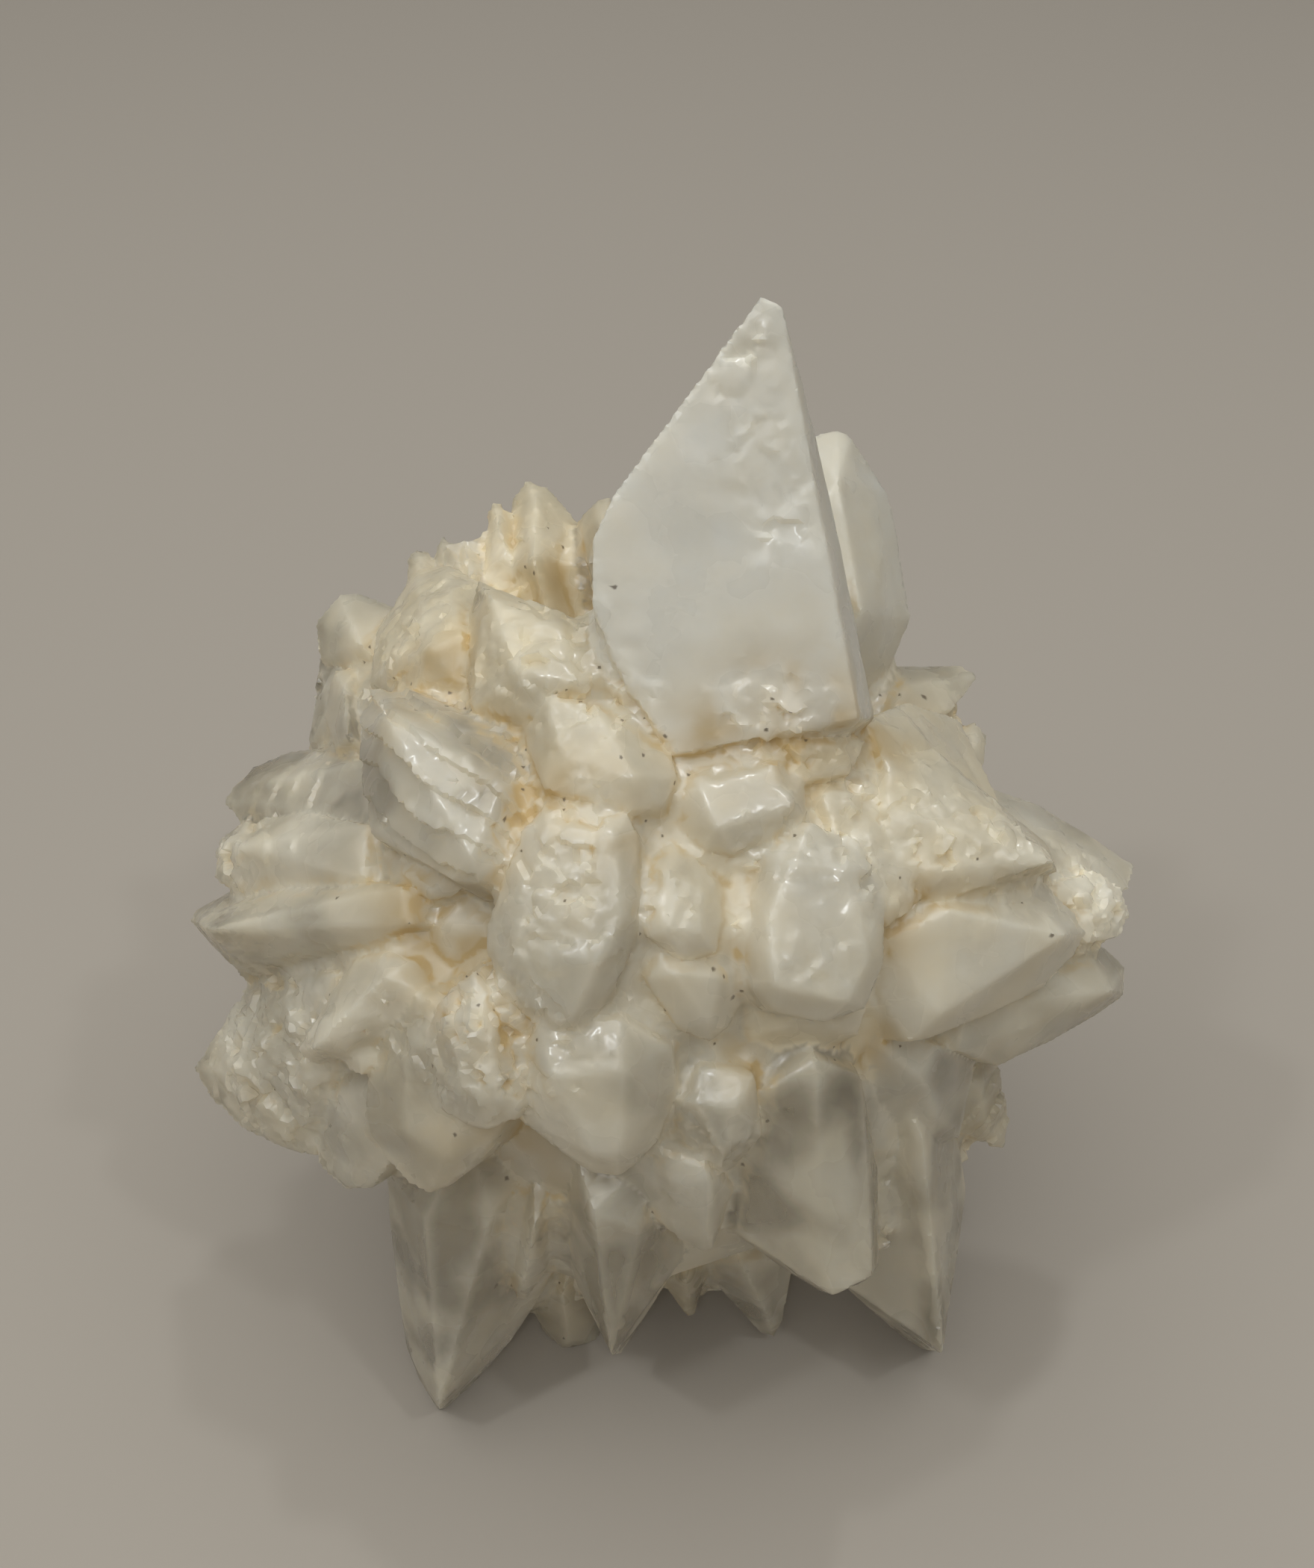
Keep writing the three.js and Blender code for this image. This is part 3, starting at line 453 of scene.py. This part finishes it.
# %% Build the growth tree
GROWTH = {
    "Swell": 0.25,  # millimetres that a face wanders in and out
    "Ripple": 0.5,  # height of the small waves on a face, and below it their width
    "Ripple Size": 2.4,
    "Ledge Height": 0.7,  # growth steps, and below it the way from one step to the next
    "Ledge Spacing": 2.8,
    "Sugar Height": 1.0,  # etched facets, and below it their width
    "Sugar Size": 2.8,
    "Chip Depth": 0.5,
}

growth = bpy.data.node_groups.new("crystal growth", "GeometryNodeTree")
growth.interface.new_socket("Geometry", in_out="INPUT", socket_type="NodeSocketGeometry")
identifiers = {}
for name, value in GROWTH.items():
    socket = growth.interface.new_socket(name, in_out="INPUT", socket_type="NodeSocketFloat")
    socket.default_value = value
    identifiers[name] = socket.identifier
growth.interface.new_socket("Geometry", in_out="OUTPUT", socket_type="NodeSocketGeometry")

start = growth.nodes.new("NodeGroupInput")
wire = Wire(growth)
size = {name: Wire(growth, start.outputs[name]) for name in GROWTH}


def kept(name, kind="FLOAT"):
    return wire.node("GeometryNodeInputNamedAttribute", {"data_type": kind}, {"Name": name}, "Attribute")


place = wire.node("GeometryNodeInputPosition")
rounding = {"Value": place, "Iterations": 1, "Weight": 0.1 + 0.4 * kept("edge")}
eased = wire.node("GeometryNodeBlurAttribute", {"data_type": "FLOAT_VECTOR"}, rounding, "Value")
bare = Wire(growth, start.outputs["Geometry"])
worn = wire.node("GeometryNodeSetPosition", None, {"Geometry": bare, "Position": eased})

spot = place.scaled(1 / MM)
swell = (spot.noise(9, 1.5) - 0.5) * size["Swell"] * 2
steps = spot.along(kept("grain", "FLOAT_VECTOR")) / size["Ledge Spacing"] + 1.6 * spot.noise(14, 1)
often = wire.maths("MAXIMUM", spot.noise(8, 1).rise(0.42, 0.62), kept("stepped").rise(0.7, 1.0))
ledge_mask = often * kept("stepped").rise(0.1, 0.8)
ledges = (0.5 - wire.maths("FRACT", steps)) * size["Ledge Height"] * ledge_mask * (0.5 + kept("stepped"))
patches = 0.4 * spot.noise(11, 2).rise(0.55, 0.75) * kept("stepped")
sugar_mask = wire.maths("MINIMUM", kept("sugar") + patches + 0.3 * kept("filled"), 1.0)
blocks = spot.facets(size["Sugar Size"]) + 0.9 * spot.facets(size["Sugar Size"] * 0.45)
sugar = blocks * size["Sugar Height"] * sugar_mask
chips = kept("edge") * spot.noise(4, 2).rise(0.55, 0.75) * size["Chip Depth"] * kept("stepped")
ripple_mask = 0.2 + 0.8 * spot.noise(12, 1).rise(0.4, 0.6) * kept("stepped").rise(0.05, 0.5)
ripples = (spot.noise(size["Ripple Size"], 1.5) - 0.5) * size["Ripple"] * ripple_mask
rise = ((swell + ripples + ledges + sugar) * (1 - 0.6 * kept("edge")) - chips) * MM

offset = wire.node("GeometryNodeInputNormal", None, None, "Normal").scaled(rise)
grown = wire.node("GeometryNodeSetPosition", None, {"Geometry": worn, "Offset": offset})
whole = wire.node("GeometryNodeRealizeInstances", None, {"Geometry": grown})
calcite = bpy.data.materials.new("milky_calcite")
finished = wire.node("GeometryNodeSetMaterial", None, {"Geometry": whole, "Material": calcite})
wire.node("NodeGroupOutput", None, {"Geometry": finished})

grower = skin.modifiers.new("growth", "NODES")
grower.node_group = growth
for name, value in GROWTH.items():
    grower[identifiers[name]] = value
applied(skin)
skin.data.materials.clear()
skin.data.materials.append(calcite)
print("grown skin of", len(skin.data.vertices), "points")

# %% [markdown]
# ## A lighter mesh
#
# The fine net has more faces than the stone needs on its flat parts. Decimate merges them where little is
# lost.

# %% Thin out the mesh
MOST_TRIANGLES = 195_000
CRISP_FROM = math.radians(38)  # edges sharper than this stay crisp

triangles = sum(len(face.vertices) - 2 for face in skin.data.polygons)
modify(skin, "TRIANGULATE")
modify(skin, "DECIMATE", ratio=min(1, MOST_TRIANGLES / triangles))
applied(skin)
for face in skin.data.polygons:
    face.use_smooth = True
skin.data.set_sharp_from_angle(angle=CRISP_FROM)
print(len(skin.data.polygons), "triangles left of", triangles)

# %% [markdown]
# ## What each point of the stone is like
#
# The finish needs to know where the stone is cloudy, stained, etched or thin. Short rays sent out from
# each point find the seams, and one ray sent inwards finds how thick the crystal is behind it. Clouds and
# specks are stored on the points too, which costs the renderer less than textures would.

# %% Store the values for the finish
SEAM_REACH = 3.5 * MM  # stone nearer than this makes a seam
FULL_DEPTH = 22 * MM  # the ray inwards looks no deeper than this
OFF_SURFACE, UNDER_SURFACE = 0.25 * MM, 0.05 * MM  # where the rays start
OPEN_SKY = 0.3  # rays flatter than this along the surface are not sent
RAYS = 20
PALE_EDGE = 0.8  # millimetres to either side of an edge that are painted paler: partly worn, bruised edges and partly a painted highlight for light glowing through the thin rims
CLOUD_SIZE, VEIL_SIZE = 7, 10


def directions(count):
    """Directions spread evenly over a ball."""
    turn_step = math.pi * (3 - math.sqrt(5))
    for number in range(count):
        up = 1 - (2 * number + 1) / count
        out = math.sqrt(1 - up * up)
        yield Vector((out * math.cos(number * turn_step), out * math.sin(number * turn_step), up))


def felt(mesh):
    """How deep in a seam each vertex lies, and how thick the stone is behind it, from 0 to 1."""
    points = [vert.co for vert in mesh.vertices]
    stone = BVHTree.FromPolygons(points, [face.vertices for face in mesh.polygons])
    ways = list(directions(RAYS))
    seam, thick = np.zeros((2, len(mesh.vertices)))
    for vert in mesh.vertices:
        normal = vert.normal
        start_out = vert.co + normal * OFF_SURFACE
        ahead = [way for way in ways if way.dot(normal) > OPEN_SKY]
        met = [stone.ray_cast(start_out, way, SEAM_REACH)[3] is not None for way in ahead]
        seam[vert.index] = sum(met) / len(ahead)
        through = stone.ray_cast(vert.co - normal * UNDER_SURFACE, -normal, FULL_DEPTH)[3]
        thick[vert.index] = (through or FULL_DEPTH) / FULL_DEPTH
    return seam, thick


def clouds(mesh, size, octaves):
    """Soft clouds of this size in millimetres, about 0 to 1, at every vertex."""
    return [0.5 + 0.6 * noise.fractal(vert.co / (size * MM), 0.7, 2.0, octaves) for vert in mesh.vertices]


numbers, _, to_edge = measured(skin.data)
seam, thick = felt(skin.data)
keep_values(skin.data, "cloud", clouds(skin.data, CLOUD_SIZE, 3))
keep_values(skin.data, "veils", clouds(skin.data, VEIL_SIZE, 2))
keep_values(skin.data, "cream", cream[numbers])
keep_values(skin.data, "clear", clear[numbers])
keep_values(skin.data, "sugar", spotted(skin.data, ROUGH_SPOTS))
stain = spotted(skin.data, STAIN_SPOTS)
keep_values(skin.data, "stain", stain)
keep_values(skin.data, "edge", np.exp(-((to_edge / PALE_EDGE) ** 2)))
keep_values(skin.data, "seam", seam)
keep_values(skin.data, "thick", thick)
chance = 0.0006 + 0.012 * stain + 0.02 * np.clip(seam * 2 - 0.3, 0, 1)
keep_values(skin.data, "specks", rng.random(len(chance)) < chance)
print("seam", round(seam.mean(), 3), "thick", round(thick.mean(), 2))

# %% [markdown]
# ## The finish
#
# The stone is milky: light goes in a few millimetres, scatters and comes out again. That is subsurface
# scattering with the calcite's own refraction. A frosted clear shader is mixed in everywhere, in drifting
# veils, and more of it in the clear crystals and thin tips. Ochre iron stain sits in the seams and
# hollows, with small brown specks.

# %% Mix the finish
GREY = (0.74, 0.735, 0.67, 1)
CREAM = (0.74, 0.645, 0.44, 1)
WHITE = (0.80, 0.77, 0.65, 1)
OCHRE = (0.50, 0.37, 0.18, 1)
BROWN = (0.08, 0.05, 0.025, 1)
CLEAR = (0.93, 0.88, 0.77, 1)
CALCITE_IOR = 1.6
SCATTER = 4 * MM  # how far light spreads under the surface
FROST = 0.25  # roughness of the clear shader

calcite.use_nodes = True
calcite.node_tree.nodes.clear()
wire = Wire(calcite.node_tree)


def painted(name):
    return wire.node("ShaderNodeAttribute", {"attribute_name": name}, None, "Fac")


def blend(share, first, second):
    return wire.node("ShaderNodeMix", {"data_type": "RGBA"}, {0: share, 6: first, 7: second}, 2)


def at_most_one(value):
    return wire.maths("MINIMUM", value, 1.0)


cloud, veils = painted("cloud"), painted("veils")
sugar = painted("sugar")
seam = painted("seam").rise(0.1, 0.45)
body = blend(at_most_one(0.35 + 0.65 * painted("cream") + 0.3 * (cloud - 0.5)), GREY, CREAM)
# painted highlight in part: the edges are blended towards white, partly as worn edges and partly standing in
# for light glowing through the thin rims
body = blend(at_most_one(0.4 * sugar + 0.12 * painted("edge")), body, WHITE)
near_stain = painted("stain")
in_hollows = near_stain * (0.42 + 0.8 * cloud.rise(0.3, 0.7))
in_seams = seam * (0.25 + 0.5 * near_stain + 0.35 * cloud.rise(0.4, 0.6))
ochre = at_most_one((in_hollows + in_seams) * 0.85)
body = blend(ochre, body, OCHRE)
specks = 0.8 * painted("specks").rise(0.5, 0.85)
body = blend(specks, body, BROWN)

polish = 0.2 + 0.25 * cloud.rise(0.3, 0.6) - 0.08 * sugar + 0.1 * ochre

milky = wire.node(
    "ShaderNodeBsdfPrincipled",
    {"subsurface_method": "BURLEY"},
    {
        "Base Color": body,
        "Roughness": polish,
        "IOR": CALCITE_IOR,
        "Subsurface Weight": 0.8,
        "Subsurface Radius": (1.0, 0.85, 0.65),
        "Subsurface Scale": SCATTER,
    },
)
glassy = wire.node(
    "ShaderNodeBsdfPrincipled",
    None,
    {"Base Color": CLEAR, "Roughness": FROST, "IOR": CALCITE_IOR, "Transmission Weight": 1.0},
)
thin = 1 - painted("thick").rise(0.1, 0.6)
clear_share = at_most_one(0.13 + painted("clear") + 0.2 * thin) * (0.6 + 0.5 * veils.rise(0.25, 0.75))
clear_share = clear_share * (1 - 0.8 * ochre) * (1 - 0.2 * painted("edge"))
both = wire.node("ShaderNodeMixShader", None, {0: clear_share, 1: milky, 2: glassy})
wire.node("ShaderNodeOutputMaterial", None, {"Surface": both})
print(len(calcite.node_tree.nodes), "nodes in the finish")

# %% [markdown]
# ## Hand the piece over
#
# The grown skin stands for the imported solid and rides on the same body.

# %% Register the piece
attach(skin, "root")
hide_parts("calcite_cluster")

# %% [markdown]
# ## Floor and light
#
# A plain pale floor and one wide soft light from above, so that the upper faces catch the light and the
# crystals below stay in their shade. Four small lamps around it only make glints on the polished faces.

# %% Set the stage
FLOOR_COLOUR = (0.42, 0.38, 0.325, 1)
HALF_FLOOR = 2.0  # metres from the middle of the floor to its rim
WARM, COOL = (1.0, 0.99, 0.97), (0.92, 0.96, 1.0)

floor_mesh = bpy.data.meshes.new("floor")
corners = [(x * HALF_FLOOR, y * HALF_FLOOR, 0) for x, y in ((-1, -1), (1, -1), (1, 1), (-1, 1))]
floor_mesh.from_pydata(corners, [], [(0, 1, 2, 3)])
floor = bpy.data.objects.new("floor", floor_mesh)
bpy.context.scene.collection.objects.link(floor)
floor_finish = bpy.data.materials.new("floor")
floor_finish.use_nodes = True
floor_sockets = floor_finish.node_tree.nodes["Principled BSDF"].inputs
floor_sockets["Base Color"].default_value = FLOOR_COLOUR
floor_sockets["Specular IOR Level"].default_value = 0
floor_mesh.materials.append(floor_finish)


def soft_light(name, place, size_across, power, colour):
    lamp = bpy.data.lights.new(name, "AREA")
    lamp.size = size_across
    lamp.energy = power
    lamp.color = colour
    holder = bpy.data.objects.new(name, lamp)
    holder.location = place
    holder.rotation_euler = (CORE - Vector(place)).to_track_quat("-Z", "Y").to_euler()
    bpy.context.scene.collection.objects.link(holder)


soft_light("over", (-0.12, -0.18, 1.25), 2.0, 15.2, WARM)
soft_light("left glint", (-0.42, -0.3, 0.8), 0.06, 0.7, COOL)
soft_light("right glint", (0.4, -0.4, 0.85), 0.06, 0.7, COOL)
soft_light("front glint", (-0.1, -0.75, 0.8), 0.06, 0.5, COOL)
soft_light("rear glint", (0.1, 0.25, 1.1), 0.06, 0.9, COOL)
world = bpy.data.worlds.new("room")
world.use_nodes = True
sky = world.node_tree.nodes["Background"].inputs
sky["Color"].default_value = (0.97, 0.98, 1.0, 1)
sky["Strength"].default_value = 0.15
bpy.context.scene.world = world
bpy.context.scene.view_settings.view_transform = "Standard"
